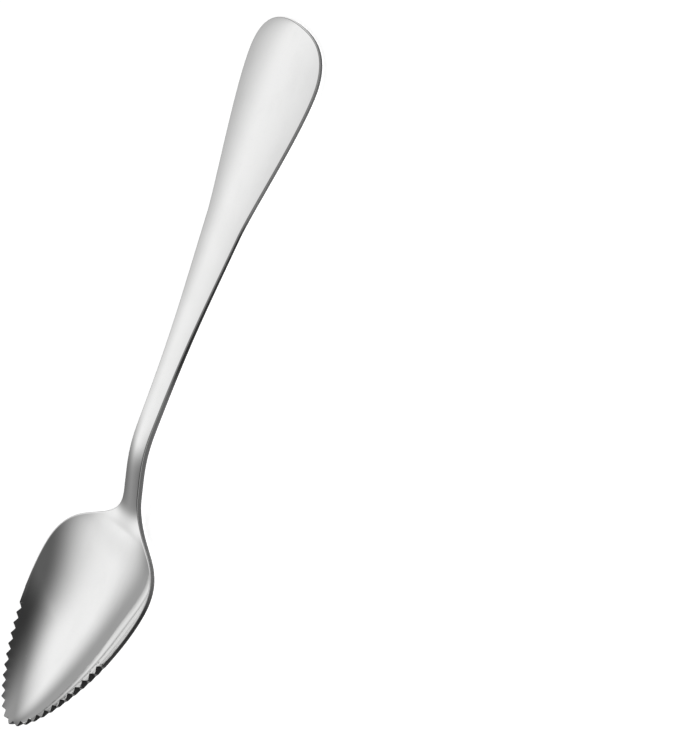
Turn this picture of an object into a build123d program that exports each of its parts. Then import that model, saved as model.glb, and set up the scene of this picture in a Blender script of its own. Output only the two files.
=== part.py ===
# Grapefruit spoon in one piece: a steel blank with a toothed point, pressed to a dished bowl,
# a cranked neck and a flared handle, lying on a table with the bowl open upwards.
# Millimetres. X runs from the point of the bowl to the handle's end, Z is up.
import os
from math import atan, atan2, degrees, sqrt

from build123d import *

# Blank outline, along the spoon
bowl_front = 34.2  # point of the bowl to its widest place
bowl_back = 19.6  # widest place to the neck
neck_length = 6.4  # narrow neck of even width
stem_length = 52.7  # slim part of the handle
flare_length = 34.3  # where the handle opens out
end_length = 10.3  # rounded end, past the widest place of the handle

# Blank outline, full widths
bowl_width = 30.7
neck_width = 4.2
stem_end_width = 10.2
handle_width = 20.5
stem_end_slope = 0.09  # how fast each edge leaves the centre line where the stem ends

# How full each curve of the outline is, as a share of its own length or half width
point_fullness = 0.415
bowl_front_fullness = 0.395
bowl_back_fullness = 0.66
neck_entry_fullness = 0.48
stem_start_fullness = 0.515
stem_end_fullness = 0.385
flare_start_fullness = 0.18
flare_end_fullness = 0.265
end_side_fullness = 0.58
end_round_fullness = 0.74

# Teeth on both edges of the point
gullets_per_side = 12
tooth_pitch = 2.18
tooth_land = 0.2
gullet_depth = 0.85
gullet_radius = 0.12

# Pressed shape, heights from the level rim of the bowl
bowl_depth = 5.9  # what the dish would reach at full width, if it did not run out before that
wall_share = 0.4  # how much of the dish stands up as a wall near the rim
point_ease = 2.7  # half width up to which dish and crown level out towards the two ends
run_out_lead = 12.2  # the dish starts to run out this far before the bowl is widest
run_out_lag = 3.7  # and has run out this far into the neck
handle_crown = 0.95  # how much higher the middle of the handle is than its edges
neck_bend_lead = 8.1  # the upward bend starts this far before the neck
neck_bend_length = 6.4
neck_rise = 0.64  # slope of the neck
handle_bend_lag = 2.2  # the bend back starts this far into the neck
handle_bend_length = 13.4
handle_rise = 0.243  # slope of the handle

# Steel thickness, measured upright
point_thickness = 0.55  # the point is ground thin for its teeth
point_taper = 20.0  # and thickens over this length
bowl_thickness = 1.3
neck_thickness = 1.75
end_thickness = 1.0

# Places along the spoon
neck_start = bowl_front + bowl_back
stem_start = neck_start + neck_length
stem_end = stem_start + stem_length
handle_widest = stem_end + flare_length
blank_length = handle_widest + end_length
neck_bend_start = neck_start - neck_bend_lead
handle_bend_start = neck_start + handle_bend_lag
run_out_start = bowl_front - run_out_lead
run_out_end = neck_start + run_out_lag

# The pressed sheet is made wider than the blank and then trimmed to it
trim_margin = 3.0


def ease(place, start, end):
    """Rise smoothly from 0 at start to 1 at end."""
    share = min(max((place - start) / (end - start), 0), 1)
    return share * share * (3 - 2 * share)


def bend_height(place, start, length):
    """Height that a bend of slope 1 has gained at a place along the spoon."""
    share = max((place - start) / length, 0)
    if share > 1:
        return length * (share - 0.5)
    return length * (share**3 - share**4 / 2)


def edge_height(place):
    """Upper edge of the steel: level along the bowl, up the neck, then along the handle."""
    climb = neck_rise * bend_height(place, neck_bend_start, neck_bend_length)
    return climb - (neck_rise - handle_rise) * bend_height(place, handle_bend_start, handle_bend_length)


def hollow(place, half_square):
    """Curvature across the spoon, from the square of its half width there: a dish that deepens with the
    width and runs out towards the neck, then a crown on the handle that also follows the width. The
    first rate is for the square of the distance from the middle, the second for its fourth power."""
    dished = 1 - ease(place, run_out_start, run_out_end)
    width_square = max(half_square, 0) + point_ease**2
    depth_per_width = bowl_depth / (sqrt((bowl_width / 2) ** 2 + point_ease**2) - point_ease)
    dish = dished * depth_per_width / (sqrt(width_square) + point_ease)
    crown_per_width = handle_crown / (handle_width / 2)
    crown = ease(place, neck_bend_start, stem_start) * crown_per_width / sqrt(width_square)
    wall = wall_share / width_square
    return dish * (1 - wall * max(half_square, 0)) - crown, dish * wall


def sag(place, half_square):
    """How far the middle of the spoon lies below its edges."""
    square_rate, fourth_rate = hollow(place, half_square)
    return square_rate * half_square + fourth_rate * half_square**2


def thickness(place):
    """Steel thickness: thin at the point, fullest at the neck, thinner along the handle."""
    to_bowl = (bowl_thickness - point_thickness) * ease(place, 0, point_taper)
    to_neck = (neck_thickness - bowl_thickness) * ease(place, bowl_front, neck_start)
    to_end = (neck_thickness - end_thickness) * ease(place, stem_start, stem_end)
    return point_thickness + to_bowl + to_neck - to_end


# Half outline of the blank, from the point to the handle's end
with BuildLine() as edge_line:
    bowl_half = bowl_width / 2
    neck_half = neck_width / 2
    stem_half = stem_end_width / 2
    handle_half = handle_width / 2
    front_curve = Bezier(
        (0, 0),
        (0, point_fullness * bowl_half),
        (bowl_front * (1 - bowl_front_fullness), bowl_half),
        (bowl_front, bowl_half),
    )
    back_curve = Bezier(
        (bowl_front, bowl_half),
        (bowl_front + bowl_back_fullness * bowl_back, bowl_half),
        (neck_start - neck_entry_fullness * bowl_back, neck_half),
        (neck_start, neck_half),
    )
    neck_line = Line((neck_start, neck_half), (stem_start, neck_half))
    stem_lead = stem_end_fullness * stem_length
    stem_curve = Bezier(
        (stem_start, neck_half),
        (stem_start + stem_start_fullness * stem_length, neck_half),
        (stem_end - stem_lead, stem_half - stem_end_slope * stem_lead),
        (stem_end, stem_half),
    )
    flare_lead = flare_start_fullness * flare_length
    flare_curve = Bezier(
        (stem_end, stem_half),
        (stem_end + flare_lead, stem_half + stem_end_slope * flare_lead),
        (handle_widest - flare_end_fullness * flare_length, handle_half),
        (handle_widest, handle_half),
    )
    end_curve = Bezier(
        (handle_widest, handle_half),
        (handle_widest + end_side_fullness * end_length, handle_half),
        (blank_length, end_round_fullness * handle_half),
        (blank_length, 0),
    )

# One gullet between two teeth, open towards +Y
with BuildSketch() as gullet:
    gullet_half = (tooth_pitch - tooth_land) / 2
    Polygon(
        (-2 * gullet_half, gullet_depth),
        (0, -gullet_depth),
        (2 * gullet_half, gullet_depth),
        align=None,
    )
    fillet(gullet.vertices().sort_by(Axis.Y)[0], gullet_radius)

gullet_places = []
for tooth in range(gullets_per_side):
    along = (tooth + 0.5) * tooth_pitch
    heading = front_curve.tangent_at(along, position_mode=PositionMode.LENGTH)
    gullet_places.append(
        Location(
            front_curve.position_at(along, position_mode=PositionMode.LENGTH),
            (0, 0, degrees(atan2(heading.Y, heading.X))),
        )
    )

# The blank is drawn below the deepest steel and reaches above the highest
trim_floor = -(bowl_depth + bowl_thickness + trim_margin)
trim_height = edge_height(blank_length) + trim_margin - trim_floor
with BuildSketch(Plane.XY.offset(trim_floor)) as blank:
    with BuildLine():
        add(edge_line.line)
        Line((blank_length, 0), (0, 0))
    make_face()
    with Locations(*gullet_places):
        add(gullet.sketch, mode=Mode.SUBTRACT)
    mirror(about=Plane.XZ)

# Stations along the spoon: the place and the square of the half width there.
# Past both ends the square goes on below zero, which carries the sheet over the blank's edge.
overrun_square = trim_margin**2 / 2
point_rate = 3 * (point_fullness * bowl_half) ** 2 / (bowl_front * (1 - bowl_front_fullness))
end_rate = 3 * (end_round_fullness * handle_half) ** 2 / (end_length * (1 - end_side_fullness))
stations = [(-overrun_square / point_rate, -overrun_square), (0, 0)]
for curve, steps in (
    (front_curve, 10),
    (back_curve, 12),
    (neck_line, 2),
    (stem_curve, 10),
    (flare_curve, 4),
    (end_curve, 6),
):
    for step in range(1, steps + 1):
        corner = curve.position_at(step / steps)
        stations.append((corner.X, corner.Y**2))
stations.append((blank_length + overrun_square / end_rate, -overrun_square))

with BuildPart() as pressed:
    for place, half_square in stations:
        sheet_square = half_square + trim_margin**2
        sheet_half = sqrt(sheet_square)
        square_rate, fourth_rate = hollow(place, half_square)
        square_lift = square_rate * sheet_square
        fourth_lift = fourth_rate * sheet_square**2
        centre_height = edge_height(place) - sag(place, half_square)
        side_height = centre_height + square_lift + fourth_lift
        shoulder_height = centre_height - fourth_lift
        pull_height = centre_height - square_lift / 3 + fourth_lift
        steel = thickness(place)
        with BuildSketch(Plane.YZ.offset(place)):
            with BuildLine():
                upper = Bezier(
                    (-sheet_half, side_height),
                    (-sheet_half / 2, shoulder_height),
                    (0, pull_height),
                    (sheet_half / 2, shoulder_height),
                    (sheet_half, side_height),
                )
                lower = Bezier(
                    (-sheet_half, side_height - steel),
                    (-sheet_half / 2, shoulder_height - steel),
                    (0, pull_height - steel),
                    (sheet_half / 2, shoulder_height - steel),
                    (sheet_half, side_height - steel),
                )
                Line(upper @ 0, lower @ 0)
                Line(upper @ 1, lower @ 1)
            make_face()
    loft()
    extrude(blank.sketch, amount=trim_height, mode=Mode.INTERSECT)

# Turn the spoon until the bowl and the handle's end both touch the table
underside = []
for place, half_square in stations[1:-1]:
    lowest = edge_height(place) - max(sag(place, half_square), 0)
    underside.append((place, lowest - thickness(place)))
bowl_points = [point for point in underside if point[0] <= neck_start]
handle_points = [point for point in underside if point[0] >= stem_end]
rest_slope = min(
    max((far[1] - near[1]) / (far[0] - near[0]) for near in bowl_points) for far in handle_points
)
rest_turn = degrees(atan(rest_slope))
turned = pressed.part.rotate(Axis.Y, rest_turn)
turned_box = turned.bounding_box()
with BuildPart() as spoon:
    with Locations((-turned_box.center().X, 0, -turned_box.min.Z)):
        add(turned)
spoon.part.label = "spoon"

os.makedirs("parts", exist_ok=True)
export_step(spoon.part, "parts/spoon.step")
print("turned to lie flat by", round(rest_turn, 3), "degrees, box", spoon.part.bounding_box())
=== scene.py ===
# Grapefruit spoon: one piece of polished steel, lying on a pale table with the bowl open upwards.
# Metres. X runs from the point of the bowl to the handle's end, Z is up.
from bisect import bisect_right
from math import cos, radians, sin, sqrt

import bmesh
import bpy
from mathutils import Matrix, Vector
from mathutils.geometry import interpolate_bezier


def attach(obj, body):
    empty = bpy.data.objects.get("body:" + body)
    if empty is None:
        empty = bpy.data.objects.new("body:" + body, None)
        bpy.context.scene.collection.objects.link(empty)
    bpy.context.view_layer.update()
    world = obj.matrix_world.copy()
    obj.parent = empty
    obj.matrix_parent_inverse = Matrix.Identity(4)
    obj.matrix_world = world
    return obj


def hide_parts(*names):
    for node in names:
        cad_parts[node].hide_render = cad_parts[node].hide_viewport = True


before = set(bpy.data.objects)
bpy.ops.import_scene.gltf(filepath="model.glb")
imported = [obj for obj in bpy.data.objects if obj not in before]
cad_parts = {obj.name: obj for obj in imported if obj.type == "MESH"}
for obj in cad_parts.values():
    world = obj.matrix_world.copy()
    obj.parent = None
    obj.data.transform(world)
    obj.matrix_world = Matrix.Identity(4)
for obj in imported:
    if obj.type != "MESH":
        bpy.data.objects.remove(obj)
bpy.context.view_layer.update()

# Blank outline, along the spoon
bowl_front = 0.0342  # point of the bowl to its widest place
bowl_back = 0.0196  # widest place to the neck
neck_length = 0.0064  # narrow neck of even width
stem_length = 0.0527  # slim part of the handle
flare_length = 0.0343  # where the handle opens out
end_length = 0.0103  # rounded end, past the widest place of the handle

# Blank outline, half widths
bowl_half = 0.01535
neck_half = 0.00223
stem_half = 0.0051
handle_half = 0.01025
stem_end_slope = 0.09  # how fast each edge leaves the centre line where the stem ends

# How full each curve of the outline is, as a share of its own length or half width
point_fullness = 0.415
bowl_front_fullness = 0.395
bowl_back_fullness = 0.66
neck_entry_fullness = 0.48
stem_start_fullness = 0.515
stem_end_fullness = 0.385
flare_start_fullness = 0.18
flare_end_fullness = 0.265
end_side_fullness = 0.58
end_round_fullness = 0.74

# Teeth on both edges of the point
gullets_per_side = 12
tooth_pitch = 0.00218
tooth_land = 0.0002
gullet_depth = 0.00095
gullet_foot_share = 0.5  # ground from above, so they reach less far in at the lower face
gullet_round = 0.00012  # half width of a gullet's rounded bottom
gullet_bottom_share = 0.96  # how much of the full depth the rounded bottom reaches
cut_fade = 1.4  # how fast a gullet's cut fades out inside the border

# Pressed shape, heights from the level rim of the bowl
bowl_depth = 0.0059  # what the dish would reach at full width, if it did not run out before that
wall_share = 0.4  # how much of the dish stands up as a wall near the rim
point_ease = 0.0027  # half width up to which dish and crown level out towards the two ends
run_out_lead = 0.0122  # the dish starts to run out this far before the bowl is widest
run_out_lag = 0.0037  # and has run out this far into the neck
handle_crown = 0.00095  # how much higher the middle of the handle is than its edges
neck_round = 48.0  # how much rounder the neck is, for the square of the distance from its middle
neck_round_fade = 0.012
neck_bend_lead = 0.0081  # the upward bend starts this far before the neck
neck_bend_length = 0.0064
neck_rise = 0.64  # slope of the neck
handle_bend_lag = 0.0022  # the bend back starts this far into the neck
handle_bend_length = 0.0134
handle_rise = 0.243  # slope of the handle

# Steel thickness, measured upright
point_thickness = 0.00055
point_taper = 0.020
bowl_thickness = 0.0013
neck_thickness = 0.00155
end_thickness = 0.0010

# Rounding of the edges: fine on the teeth, then the rim's radius up to the shoulder, then the handle's
tooth_edge_radius = 0.0001
rim_radius = 0.00016
edge_radius = 0.00022
shoulder_start = 0.038
shoulder_end = 0.046

# Painted shade on the cut edge: a dark tone that stands in for the dark reflection the edge shows, with a
# satin roughness. On the plain edge it fades out over this outer share of the rounding. On the teeth it
# starts to fade there and ends with the rounding. The painted shade is lighter round the neck and on the
# wide handle.
painted_shade_share = 0.3
# How much lighter the painted edge shade gets round the neck and on the wide handle
shade_lightening_share = 0.12
neck_lightening_start = (0.034, 0.042)
neck_lightening_end = (0.074, 0.084)
handle_lightening_start = (0.112, 0.120)

# Small lip round the bowl, on its upper face: level at the edge, then rolled into the wall, which starts
# deeper for it
lip_level = 0.0001
lip_width = 0.0004
tooth_lip_share = 0.05  # size of the lip on the teeth, as a share of its size on the plain rim
inner_depth = 0.0060

# How the pressed spoon lies on the table
rest_turn = radians(16.5626998)
point_place = Vector((-0.079946414, 0, 0.015313218))

# Places along the spoon
neck_start = bowl_front + bowl_back
stem_start = neck_start + neck_length
stem_end = stem_start + stem_length
handle_widest = stem_end + flare_length
blank_length = handle_widest + end_length
neck_bend_start = neck_start - neck_bend_lead
handle_bend_start = neck_start + handle_bend_lag
run_out_start = bowl_front - run_out_lead
run_out_end = neck_start + run_out_lag

# How finely the steel is divided
steps_per_tooth = 8
teeth_on_tip_row = 6
plain_rows = 190
curve_points = 600
end_row_length = 0.0096  # length of the outline on each side that belongs to the handle's end row
bow_length = 0.012  # the rows near both ends bow out over this length
border_width = 0.0013
tooth_border_width = 0.0020
border_limit = 0.45  # most of the half width that the border takes
edge_blend = 4 * tooth_pitch  # border and lip change over this length past the teeth
lip_rings = (0.8, 0.62, 0.5, 0.4, 0.31, 0.22, 0.13, 0.05)  # shares of the border, from inside out
round_rings = (1.0, 0.62, 0.30, 0.08, 0.0)  # shares of the edge's radius, from inside out
facing_step = 0.00002
stored_slack = 0.99  # lengths kept on the mesh are a little rounded
crisp_angle = radians(38)


def ease(place, start, end):
    """Rise smoothly from 0 at start to 1 at end."""
    share = min(max((place - start) / (end - start), 0), 1)
    return share * share * (3 - 2 * share)


def bend_height(place, start, length):
    """Height that a bend of slope 1 has gained at a place along the spoon."""
    share = max((place - start) / length, 0)
    if share > 1:
        return length * (share - 0.5)
    return length * (share**3 - share**4 / 2)


def edge_height(place):
    """Upper edge of the steel: level along the bowl, up the neck, then along the handle."""
    climb = neck_rise * bend_height(place, neck_bend_start, neck_bend_length)
    return climb - (neck_rise - handle_rise) * bend_height(place, handle_bend_start, handle_bend_length)


def hollow(place, half_square, depth):
    """Curvature across the spoon: a dish in the bowl that runs out towards the neck, a rounder neck, and a
    crown on the handle that follows its width. The first rate is for the square of the distance from the
    middle, and the second for its fourth power."""
    dished = 1 - ease(place, run_out_start, run_out_end)
    width_square = half_square + point_ease**2
    depth_per_width = depth / (sqrt(bowl_half**2 + point_ease**2) - point_ease)
    dish = dished * depth_per_width / (sqrt(width_square) + point_ease)
    crown_per_width = handle_crown / handle_half
    crown = ease(place, neck_bend_start, stem_start) * crown_per_width / sqrt(width_square)
    past_neck = ease(place, stem_start, stem_start + neck_round_fade)
    crown += neck_round * ease(place, neck_bend_start, neck_start) * (1 - past_neck)
    wall = wall_share / width_square
    return dish * (1 - wall * half_square) - crown, dish * wall


def thickness(place):
    """Steel thickness: thin at the point, fullest at the neck, thinner along the handle."""
    to_bowl = (bowl_thickness - point_thickness) * ease(place, 0, point_taper)
    to_neck = (neck_thickness - bowl_thickness) * ease(place, bowl_front, neck_start)
    to_end = (neck_thickness - end_thickness) * ease(place, stem_start, stem_end)
    return point_thickness + to_bowl + to_neck - to_end


def blank_outline():
    """Half outline of the blank from the point to the handle's end, as points close together."""
    stem_lead = stem_end_fullness * stem_length
    flare_lead = flare_start_fullness * flare_length
    curves = (
        (
            (0, 0),
            (0, point_fullness * bowl_half),
            (bowl_front * (1 - bowl_front_fullness), bowl_half),
            (bowl_front, bowl_half),
        ),
        (
            (bowl_front, bowl_half),
            (bowl_front + bowl_back_fullness * bowl_back, bowl_half),
            (neck_start - neck_entry_fullness * bowl_back, neck_half),
            (neck_start, neck_half),
        ),
        (
            (neck_start, neck_half),
            (neck_start + neck_length / 3, neck_half),
            (stem_start - neck_length / 3, neck_half),
            (stem_start, neck_half),
        ),
        (
            (stem_start, neck_half),
            (stem_start + stem_start_fullness * stem_length, neck_half),
            (stem_end - stem_lead, stem_half - stem_end_slope * stem_lead),
            (stem_end, stem_half),
        ),
        (
            (stem_end, stem_half),
            (stem_end + flare_lead, stem_half + stem_end_slope * flare_lead),
            (handle_widest - flare_end_fullness * flare_length, handle_half),
            (handle_widest, handle_half),
        ),
        (
            (handle_widest, handle_half),
            (handle_widest + end_side_fullness * end_length, handle_half),
            (blank_length, end_round_fullness * handle_half),
            (blank_length, 0),
        ),
    )
    points = []
    for curve in curves:
        run = interpolate_bezier(*[Vector((*corner, 0)) for corner in curve], curve_points)
        points += run[1:] if points else run
    return points


outline = blank_outline()
outline_place = [point.x for point in outline]
outline_reach = [0.0]
for before, after in zip(outline, outline[1:]):
    outline_reach.append(outline_reach[-1] + (after - before).length)
outline_length = outline_reach[-1]


def step_at(starts, value):
    """Number of the outline's step that a value falls in, from where the steps start."""
    return min(max(bisect_right(starts, value) - 1, 0), len(starts) - 2)


def outline_at(reach):
    """Point of the half outline at a length along it, and the direction that points into the steel."""
    number = step_at(outline_reach, reach)
    step = outline[number + 1] - outline[number]
    share = (reach - outline_reach[number]) / step.length
    inward = Vector((step.y, -step.x, 0)).normalized()
    return outline[number] + step * share, inward


def half_width(place):
    """Half width of the blank at a place along the spoon."""
    if place <= 0 or place >= blank_length:
        return 0.0
    number = step_at(outline_place, place)
    step = outline[number + 1] - outline[number]
    share = (place - outline[number].x) / step.x if step.x else 0
    return outline[number].y + step.y * min(share, 1)


def dish_height(place, across, depth):
    """Height of the pressed sheet over the line between its two edges, for a depth of the bowl."""
    half_square = half_width(place) ** 2
    square_rate, fourth_rate = hollow(place, half_square, depth)
    return square_rate * (across**2 - half_square) + fourth_rate * (across**4 - half_square**2)


def wall_slope(place):
    """How steeply the bowl's wall rises to its rim, beside a place along the spoon."""
    number = step_at(outline_place, place)
    step = outline[number + 1] - outline[number]
    inner = outline[number] + Vector((step.y, -step.x, 0)).normalized() * lip_width
    return max(-dish_height(inner.x, inner.y, inner_depth) / lip_width, 0)


def dish_facing(place, across):
    """Way that the smooth dish faces at a plan point, with the spoon lying on the table."""
    place = max(place, 2 * facing_step)
    far, near = place + facing_step, place - facing_step
    ahead = edge_height(far) + dish_height(far, across, inner_depth)
    behind = edge_height(near) + dish_height(near, across, inner_depth)
    left = dish_height(place, across + facing_step, inner_depth)
    right = dish_height(place, across - facing_step, inner_depth)
    facing = Vector((behind - ahead, right - left, 2 * facing_step)).normalized()
    return Matrix.Rotation(rest_turn, 3, "Y") @ facing


def lip_lift(place, inset, cut):
    """How far the lip and a gullet's cut lift the upper face, at a distance from the edge."""
    size = tooth_lip_share + (1 - tooth_lip_share) * ease(place, teeth_end, teeth_end + edge_blend)
    level = lip_level * size
    roll_width = (lip_width - lip_level) * size
    share = min(max((inset - level) / roll_width, 0), 1)
    rolled = roll_width * (share - share**3 + share**4 / 2)
    beside_gullet = cut * (1 - ease(inset, 0, tooth_border_width))
    return wall_slope(place) * (min(inset, level) + rolled + beside_gullet)


# One tooth from peak to peak: share of the pitch, and share of the gullet's depth
tooth_corner = tooth_land / 2 / tooth_pitch
gullet_corner = 0.5 - gullet_round / tooth_pitch
gullet_corner_depth = (gullet_corner - tooth_corner) / (0.5 - tooth_corner)
tooth_steps = (
    (0, 0),
    (tooth_corner, 0),
    ((tooth_corner + gullet_corner) / 2, gullet_corner_depth / 2),
    (gullet_corner, gullet_corner_depth),
    (0.5, gullet_bottom_share),
    (1 - gullet_corner, gullet_corner_depth),
    (1 - (tooth_corner + gullet_corner) / 2, gullet_corner_depth / 2),
    (1 - tooth_corner, 0),
)


def tooth_step(step):
    """Length along the outline and depth of the cut at a numbered step of the teeth, from the tip."""
    tooth, part = divmod(abs(step), steps_per_tooth)
    share, depth = tooth_steps[part]
    cut = gullet_depth * depth if tooth < gullets_per_side else 0
    return (tooth + share) * tooth_pitch, cut


# Steps along the outline: the tip's row of teeth, the toothed edge, then the plain edge to the end row
columns = teeth_on_tip_row * steps_per_tooth
toothed_rows = gullets_per_side * steps_per_tooth - columns // 2
rows = toothed_rows + plain_rows
teeth_reach = gullets_per_side * tooth_pitch
teeth_end = outline_at(teeth_reach)[0].x
end_row_reach = outline_length - end_row_length


def row_edge(row):
    """Length along the outline, and the depth of the cut, where a row meets the long edge."""
    if row <= toothed_rows:
        return tooth_step(columns // 2 + row)
    share = (row - toothed_rows) / plain_rows
    return teeth_reach + (end_row_reach - teeth_reach) * share, 0


def column_tip(column):
    """Length along the outline, and the depth of the cut, where a column meets the tip."""
    return tooth_step(column - columns // 2)


def column_end(column):
    """Length along the outline where a column meets the handle's end."""
    share = abs(column - columns / 2) / (columns / 2)
    return outline_length - end_row_length * share


def edge_point(reach, side, inset):
    """Plan point at a length along the outline on one side, set into the steel from the edge."""
    point, inward = outline_at(reach)
    point = point + inward * inset
    return Vector((point.x, point.y * side, 0))


def border_inset(reach):
    """Width of the border between the edge and the divided middle of the steel."""
    past_teeth = ease(reach, teeth_reach, teeth_reach + edge_blend)
    width = tooth_border_width + (border_width - tooth_border_width) * past_teeth
    if reach <= teeth_reach:
        return width
    return min(width, border_limit * max(outline_at(reach)[0].y, neck_half))


def edge_round(reach):
    """Radius of the rounded edge: fine at the teeth, fuller along the plain edge."""
    fine = 1 - ease(reach, teeth_reach - tooth_pitch / 2, teeth_reach + tooth_pitch)
    place = outline_at(reach)[0].x
    plain = rim_radius + (edge_radius - rim_radius) * ease(place, shoulder_start, shoulder_end)
    return plain + (tooth_edge_radius - plain) * fine


def edge_shade_lightening(place):
    """How much lighter the cut edge's painted shade is: round the neck and on the wide handle, not at the
    teeth and stem.
    """
    neck = ease(place, *neck_lightening_start) * (1 - ease(place, *neck_lightening_end))
    return neck + ease(place, *handle_lightening_start)


def edge_painted_shade_and_satin(reach, place, inset, radius):
    """How much of the cut edge's painted shade (its dark tone) and satin roughness is left at a distance
    from the edge.
    """
    plain = ease(reach, teeth_reach, teeth_reach + tooth_pitch)
    fade_start = painted_shade_share * radius * (1 - plain)
    fade_end = radius * (1 - (1 - painted_shade_share) * plain)
    return (1 - ease(inset, fade_start, fade_end)) * (1 - shade_lightening_share * edge_shade_lightening(place))


def cut_share(inset, border):
    """How much of a gullet's cut is left at a distance from the edge, within the border."""
    return max(1 - inset / border, 0) ** cut_fade


def spoon_mesh():
    """The spoon as one closed mesh: a divided middle, a border with the teeth, rounded edges, thickness."""
    bm = bmesh.new()
    bmesh.ops.create_grid(bm, x_segments=rows, y_segments=columns, size=1)
    reach_layer = bm.verts.layers.float.new("edge_reach")
    cut_layer = bm.verts.layers.float.new("edge_cut")
    side_layer = bm.verts.layers.float.new("edge_side")
    inset_layer = bm.verts.layers.float.new("edge_inset")
    round_layer = bm.verts.layers.float.new("edge_round")
    border_layer = bm.verts.layers.float.new("edge_border")
    # Mask of the cut edge's painted shade and its satin roughness
    painted_shade_and_satin_layer = bm.verts.layers.float.new("painted_shade_and_satin")
    facing_layer = bm.verts.layers.float_vector.new("dish_facing")

    # Lay the middle out in plan
    tip_corner = edge_point(row_edge(0)[0], 1, border_inset(row_edge(0)[0]))
    end_corner = edge_point(end_row_reach, 1, border_inset(end_row_reach))
    for vert in bm.verts:
        row = round((vert.co.x + 1) / 2 * rows)
        column = round((vert.co.y + 1) / 2 * columns)
        side = 1 if column >= columns / 2 else -1
        reach, cut = row_edge(row)
        edge = edge_point(reach, 1, border_inset(reach))
        across = (column - columns / 2) / (columns / 2)
        tip = edge_point(column_tip(column)[0], side, border_inset(0))
        end = edge_point(column_end(column), side, border_inset(column_end(column)))
        tip_bow = 1 - ease(edge.x, tip_corner.x, tip_corner.x + bow_length)
        end_bow = ease(edge.x, end_corner.x - bow_length, end_corner.x)
        spread = across * (1 - tip_bow - end_bow)
        spread += tip.y / tip_corner.y * tip_bow + end.y / end_corner.y * end_bow
        along = edge.x + (tip.x - tip_corner.x) * tip_bow + (end.x - end_corner.x) * end_bow
        if row == 0:
            reach, cut = column_tip(column)
        if row == rows:
            reach, cut = column_end(column), 0
        vert[reach_layer] = reach
        vert[cut_layer] = cut
        vert[side_layer] = side
        vert[inset_layer] = border_inset(reach)
        vert[border_layer] = border_inset(reach)
        vert[round_layer] = edge_round(reach)
        vert.co = (along, spread * edge.y, 0)

    # Draw the border out to the edge, ring by ring: first the lip's rings, then the rounding's
    rings = [(share, 1) for share in lip_rings] + [(0, share) for share in round_rings]
    rim = [edge for edge in bm.edges if edge.is_boundary]
    for border_share, round_share in rings:
        drawn = bmesh.ops.extrude_edge_only(bm, edges=rim)["geom"]
        rim = [item for item in drawn if isinstance(item, bmesh.types.BMEdge) and item.is_boundary]
        for vert in [item for item in drawn if isinstance(item, bmesh.types.BMVert)]:
            reach, radius, border = vert[reach_layer], vert[round_layer], vert[border_layer]
            inset = radius * round_share + (border - radius) * border_share
            set_in = inset + vert[cut_layer] * cut_share(inset, border)
            vert.co = edge_point(reach, vert[side_layer], set_in)
            vert[inset_layer] = inset
            # Painted shade and satin roughness on the cut edge
            vert[painted_shade_and_satin_layer] = edge_painted_shade_and_satin(reach, vert.co.x, inset, radius)

    # Give it thickness, then press the upper and lower faces to shape
    lower = bmesh.ops.extrude_face_region(bm, geom=bm.faces[:])["geom"]
    lower_verts = {item for item in lower if isinstance(item, bmesh.types.BMVert)}
    for vert in bm.verts:
        cut = vert[cut_layer] * cut_share(vert[inset_layer], vert[border_layer])
        if vert in lower_verts and cut:
            set_in = vert[inset_layer] + cut * gullet_foot_share
            vert.co = edge_point(vert[reach_layer], vert[side_layer], set_in)
        place, across = vert.co.x, vert.co.y
        radius = vert[round_layer]
        inset = min(vert[inset_layer], radius)
        roll = radius - sqrt(max(radius**2 - (radius - inset) ** 2, 0))
        height = edge_height(place)
        if vert in lower_verts:
            vert.co.z = height + dish_height(place, across, bowl_depth) - thickness(place) + roll
        else:
            lift = lip_lift(place, vert[inset_layer], cut)
            vert.co.z = height + dish_height(place, across, inner_depth) + lift - roll
            shaded_from = radius if place < teeth_end else max(radius, lip_width)
            if place < stem_start and vert[inset_layer] > stored_slack * shaded_from:
                vert[facing_layer] = dish_facing(place, across)
    bmesh.ops.recalc_face_normals(bm, faces=bm.faces[:])
    bmesh.ops.transform(bm, matrix=Matrix.Rotation(rest_turn, 4, "Y"), verts=bm.verts[:])
    bmesh.ops.translate(bm, vec=point_place, verts=bm.verts[:])

    # Corners of the teeth stay crisp, everything else is smooth
    for face in bm.faces:
        face.smooth = True
    for edge in bm.edges:
        edge.smooth = edge.calc_face_angle(0) < crisp_angle
    mesh = bpy.data.meshes.new("spoon_steel")
    bm.to_mesh(mesh)
    bm.free()

    # The upper face of the bowl, teeth included, is shaded as the smooth dish that the teeth are cut in
    facings = [Vector(item.vector) for item in mesh.attributes["dish_facing"].data]
    corner_normals = [Vector((0, 0, 0))] * len(mesh.loops)
    for face in mesh.polygons:
        if all(facings[number].length for number in face.vertices):
            for corner, number in zip(face.loop_indices, face.vertices):
                corner_normals[corner] = facings[number]
    mesh.normals_split_custom_set(corner_normals)

    # Only the cut edge's mask of painted shade and satin roughness is needed in the finished mesh
    for name in ("reach", "cut", "side", "inset", "round", "border"):
        mesh.attributes.remove(mesh.attributes["edge_" + name])
    mesh.attributes.remove(mesh.attributes["dish_facing"])
    return mesh


# Steel: colours, and how rough each part of the finish makes it
polished_tone = (0.885, 0.885, 0.882, 1)
handled_tone = (0.85, 0.85, 0.846, 1)
# Painted shade: dark tone of the cut edge, standing in for a dark reflection
painted_edge_shade_tone = (0.02, 0.02, 0.02, 1)
polished_roughness = 0.05
handled_roughness = 0.035
scratch_roughness = 0.10
cut_roughness = 0.22
line_strength = 0.06
line_height = 0.00002

# Marks in the steel, as grains to the metre along, across and up, and the noise levels where they show
line_grains = (70, 5200, 5200)
broad_line_grains = (25, 900, 900)
broad_line_share = 0.6
hair_grains = (55, 2300, 2300)
hair_levels = (0.73, 0.80)
patch_grains = (90, 260, 260)
patch_levels = (0.56, 0.66)
cloud_grains = (95, 150, 150)
cloud_levels = (0.38, 0.68)
wipe_grains = (40, 420, 420)
wipe_levels = (0.3, 0.75)
least_wiped = 0.5
grain_roughness = 0.55


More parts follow.
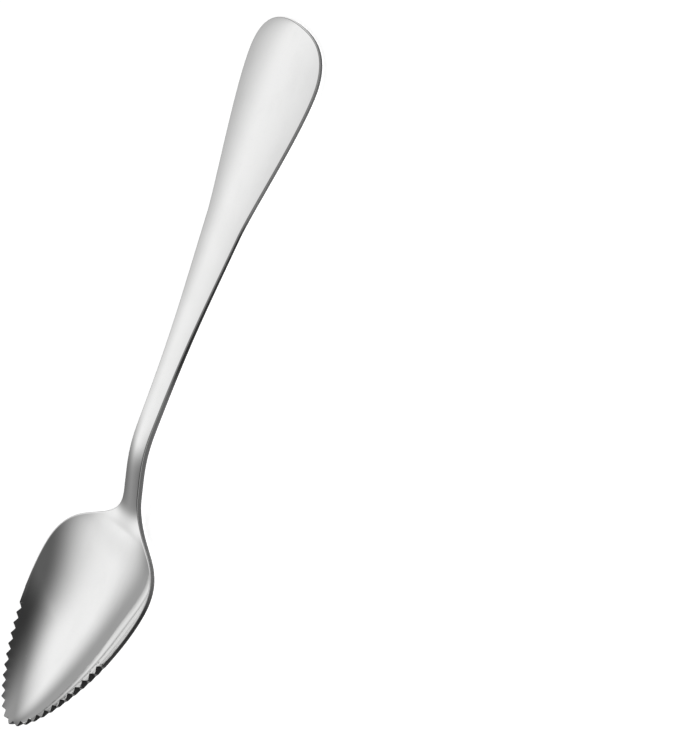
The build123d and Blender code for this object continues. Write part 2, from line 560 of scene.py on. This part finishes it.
def node_group(name, inputs, outputs):
    """An empty shader node group with float inputs and outputs, and its end nodes."""
    group = bpy.data.node_groups.new(name, "ShaderNodeTree")
    for label, value in inputs:
        socket = group.interface.new_socket(name=label, in_out="INPUT", socket_type="NodeSocketFloat")
        socket.default_value = value
    for label in outputs:
        group.interface.new_socket(name=label, in_out="OUTPUT", socket_type="NodeSocketFloat")
    return group, group.nodes.new("NodeGroupInput"), group.nodes.new("NodeGroupOutput")


def add_node(tree, kind, settings=(), inputs=(), links=()):
    """A node with its settings, its plain input values and its linked inputs."""
    node = tree.nodes.new(kind)
    for name, value in settings:
        setattr(node, name, value)
    for name, value in inputs:
        node.inputs[name].default_value = value
    for name, socket in links:
        tree.links.new(socket, node.inputs[name])
    return node


def stretched_noise(tree, grains, detail):
    """Noise on Object coordinates, with so many grains to the metre along, across and up."""
    place = add_node(tree, "ShaderNodeTexCoord").outputs["Object"]
    mapping = add_node(tree, "ShaderNodeMapping", inputs=[("Scale", grains)], links=[("Vector", place)])
    return add_node(
        tree, "ShaderNodeTexNoise",
        inputs=[("Scale", 1), ("Detail", detail), ("Roughness", grain_roughness)],
        links=[("Vector", mapping.outputs["Vector"])],
    ).outputs["Fac"]


def ramp(tree, value, levels, low, high):
    """A value carried smoothly between two levels of it to a low and a high result."""
    return add_node(
        tree, "ShaderNodeMapRange", [("interpolation_type", "SMOOTHSTEP")],
        [("From Min", levels[0]), ("From Max", levels[1]), ("To Min", low), ("To Max", high)],
        [("Value", value)],
    ).outputs["Result"]


def combine(tree, operation, first, second):
    """Two values joined by a sum, product or the like; either may be a plain number."""
    node = add_node(tree, "ShaderNodeMath", [("operation", operation)])
    for socket, value in zip(node.inputs, (first, second)):
        if isinstance(value, (int, float)):
            socket.default_value = value
        else:
            tree.links.new(value, socket)
    return node.outputs["Value"]


def facing_share(tree, direction, axis):
    """How much a direction faces along an axis, from -1 to 1."""
    return add_node(
        tree, "ShaderNodeVectorMath", [("operation", "DOT_PRODUCT")], [(1, axis)], [(0, direction)],
    ).outputs["Value"]


def polishing_lines():
    """Fine lines that the buffing wheel leaves along the spoon, and a few longer hairline scratches."""
    group, given, result = node_group(
        "polishing_lines", [("Line Depth", 1.0), ("Scratch Depth", 1.0)], ["Height", "Scratches"],
    )
    lines = stretched_noise(group, line_grains, 2)
    broad = stretched_noise(group, broad_line_grains, 2)
    buffed = combine(group, "ADD", lines, combine(group, "MULTIPLY", broad, broad_line_share))
    hair = ramp(group, stretched_noise(group, hair_grains, 0), hair_levels, 0, 1)
    patch = ramp(group, stretched_noise(group, patch_grains, 1), patch_levels, 0, 1)
    scratches = combine(group, "MULTIPLY", hair, patch)
    depth = combine(group, "MULTIPLY", buffed, given.outputs["Line Depth"])
    cut = combine(group, "MULTIPLY", scratches, given.outputs["Scratch Depth"])
    group.links.new(combine(group, "SUBTRACT", depth, cut), result.inputs["Height"])
    group.links.new(scratches, result.inputs["Scratches"])
    return group


def handling_marks():
    """Soft cloudy marks from wiping and handling."""
    group, given, result = node_group("handling_marks", [("Amount", 1.0)], ["Marks"])
    clouds = ramp(group, stretched_noise(group, cloud_grains, 4), cloud_levels, 0, 1)
    wiped = ramp(group, stretched_noise(group, wipe_grains, 2), wipe_levels, least_wiped, 1)
    both = combine(group, "MULTIPLY", clouds, wiped)
    group.links.new(combine(group, "MULTIPLY", both, given.outputs["Amount"]), result.inputs["Marks"])
    return group


def polished_steel():
    """Mirror-polished stainless steel, with painted shade on the cut edge: a dark tone standing in for a
    dark reflection, and a satin roughness.
    """
    steel = bpy.data.materials.new("polished_steel")
    steel.use_nodes = True
    tree = steel.node_tree
    shader = tree.nodes["Principled BSDF"]
    shader.inputs["Metallic"].default_value = 1
    lines = add_node(tree, "ShaderNodeGroup", [("node_tree", polishing_lines())])
    marks = add_node(tree, "ShaderNodeGroup", [("node_tree", handling_marks())])
    painted_shade_and_satin = add_node(tree, "ShaderNodeAttribute", [("attribute_name", "painted_shade_and_satin")]).outputs["Fac"]

    tone = add_node(
        tree, "ShaderNodeMix", [("data_type", "RGBA")],
        [("A", polished_tone), ("B", handled_tone)], [("Factor", marks.outputs["Marks"])],
    )
    # Painted shade: the cut edge's dark tone
    edge_tone = add_node(
        tree, "ShaderNodeMix", [("data_type", "RGBA")],
        [("B", painted_edge_shade_tone)], [("Factor", painted_shade_and_satin), ("A", tone.outputs["Result"])],
    )
    tree.links.new(edge_tone.outputs["Result"], shader.inputs["Base Color"])

    dulled = combine(tree, "MULTIPLY", marks.outputs["Marks"], handled_roughness)
    scratched = combine(tree, "MULTIPLY", lines.outputs["Scratches"], scratch_roughness)
    satin = combine(tree, "MULTIPLY", painted_shade_and_satin, cut_roughness)
    worn = combine(tree, "ADD", dulled, scratched)
    rough = combine(tree, "ADD", worn, combine(tree, "ADD", satin, polished_roughness))
    tree.links.new(rough, shader.inputs["Roughness"])

    bump = add_node(
        tree, "ShaderNodeBump", inputs=[("Strength", line_strength), ("Distance", line_height)],
        links=[("Height", lines.outputs["Height"])],
    )
    tree.links.new(bump.outputs["Normal"], shader.inputs["Normal"])
    return steel


def add_object(name, data):
    """A new object in the scene, at the origin."""
    made = bpy.data.objects.new(name, data)
    bpy.context.scene.collection.objects.link(made)
    return made


spoon = add_object("spoon_polished", spoon_mesh())
spoon.data.materials.append(polished_steel())
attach(spoon, "root")
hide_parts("spoon")

# White table, seen as white by the camera and in the steel, with the spoon's soft shadow on it
table_half = 3
table_tone = (0.9, 0.9, 0.9, 1)
table_roughness = 0.9
table_glow = 0.70
table_mesh = bpy.data.meshes.new("table")
bm = bmesh.new()
bmesh.ops.create_grid(bm, x_segments=1, y_segments=1, size=table_half)
bm.to_mesh(table_mesh)
bm.free()
table = add_object("table", table_mesh)
white = bpy.data.materials.new("white_table")
white.use_nodes = True
white_tree = white.node_tree
surface = white_tree.nodes["Principled BSDF"]
surface.inputs["Base Color"].default_value = table_tone
surface.inputs["Roughness"].default_value = table_roughness
surface.inputs["Specular IOR Level"].default_value = 0
surface.inputs["Emission Color"].default_value = (1, 1, 1, 1)
rays = add_node(white_tree, "ShaderNodeLightPath").outputs
seen = combine(white_tree, "MAXIMUM", rays["Is Camera Ray"], rays["Is Glossy Ray"])
seen = combine(white_tree, "MAXIMUM", seen, rays["Is Transmission Ray"])
glow = combine(white_tree, "MULTIPLY", seen, table_glow)
white_tree.links.new(glow, surface.inputs["Emission Strength"])
table_mesh.materials.append(white)

# Studio light: a pale tent overhead, shaded on four sides. Each side has the way it faces, the two shares
# of facing it between which the shade comes in, and the share of light that is left there.
tent_light = 0.969
tent_sides = (
    ((-0.316, -0.949, 0.004), (-0.518, 0.475), 0.121),
    ((0.017, 0.973, -0.231), (0.434, 0.797), 0.390),
    ((0.968, -0.147, -0.205), (0.095, 0.389), 0.339),
    ((-0.996, 0.068, -0.062), (0.400, 0.726), 0.354),
)
# Below the darkest side the tent ends at a pale wall, low down
low_wall = (0, -0.6, -0.8)
low_wall_levels = (0.02, 0.30)
low_wall_light = 0.7
# The table's white goes on past its edge, below the horizon
down = (0, 0, -1)
horizon_levels = (0.005, 0.02)

world = bpy.data.worlds.new("light_tent")
bpy.context.scene.world = world
world.use_nodes = True
sky = world.node_tree
direction = add_node(sky, "ShaderNodeTexCoord").outputs["Generated"]
strength = tent_light
for axis, levels, left in tent_sides:
    shade = ramp(sky, facing_share(sky, direction, axis), levels, 1, left)
    strength = combine(sky, "MULTIPLY", shade, strength)
wall_light = ramp(sky, facing_share(sky, direction, low_wall), low_wall_levels, 0, low_wall_light)
strength = combine(sky, "MAXIMUM", strength, wall_light)
below = ramp(sky, facing_share(sky, direction, down), horizon_levels, 0, 1)
strength = combine(sky, "MAXIMUM", strength, below)
sky.nodes["Background"].inputs["Color"].default_value = (1, 1, 1, 1)
sky.links.new(strength, sky.nodes["Background"].inputs["Strength"])

# Camera, as a long lens from above, over the handle and towards -Y
view_tilt = radians(37.64)
view_lean = radians(11.93) + rest_turn
view_roll = radians(37.486)
frame_height = 0.147540
centre_right = 0.066910
centre_up = 0.072482
camera_distance = 6.0
sensor_height = 36
spoon_axis = Vector((cos(view_lean), 0, -sin(view_lean)))
spoon_up = Vector((sin(view_lean), 0, cos(view_lean)))
spoon_side = Vector((0, -cos(view_tilt), 0)) - spoon_up * sin(view_tilt)
view_right = spoon_axis * sin(view_roll) + spoon_side * cos(view_roll)
view_up = spoon_axis * cos(view_roll) - spoon_side * sin(view_roll)
view_back = view_right.cross(view_up)
camera_data = bpy.data.cameras.new("camera")
camera_data.sensor_fit = "VERTICAL"
camera_data.sensor_height = sensor_height
camera_data.lens = sensor_height * camera_distance / frame_height
camera = add_object("camera", camera_data)
turn = Matrix((view_right, view_up, view_back)).transposed().to_4x4()
aim = point_place + view_right * centre_right + view_up * centre_up
camera.matrix_world = Matrix.Translation(aim + view_back * camera_distance) @ turn
bpy.context.scene.camera = camera

bpy.context.scene.view_settings.view_transform = "Standard"
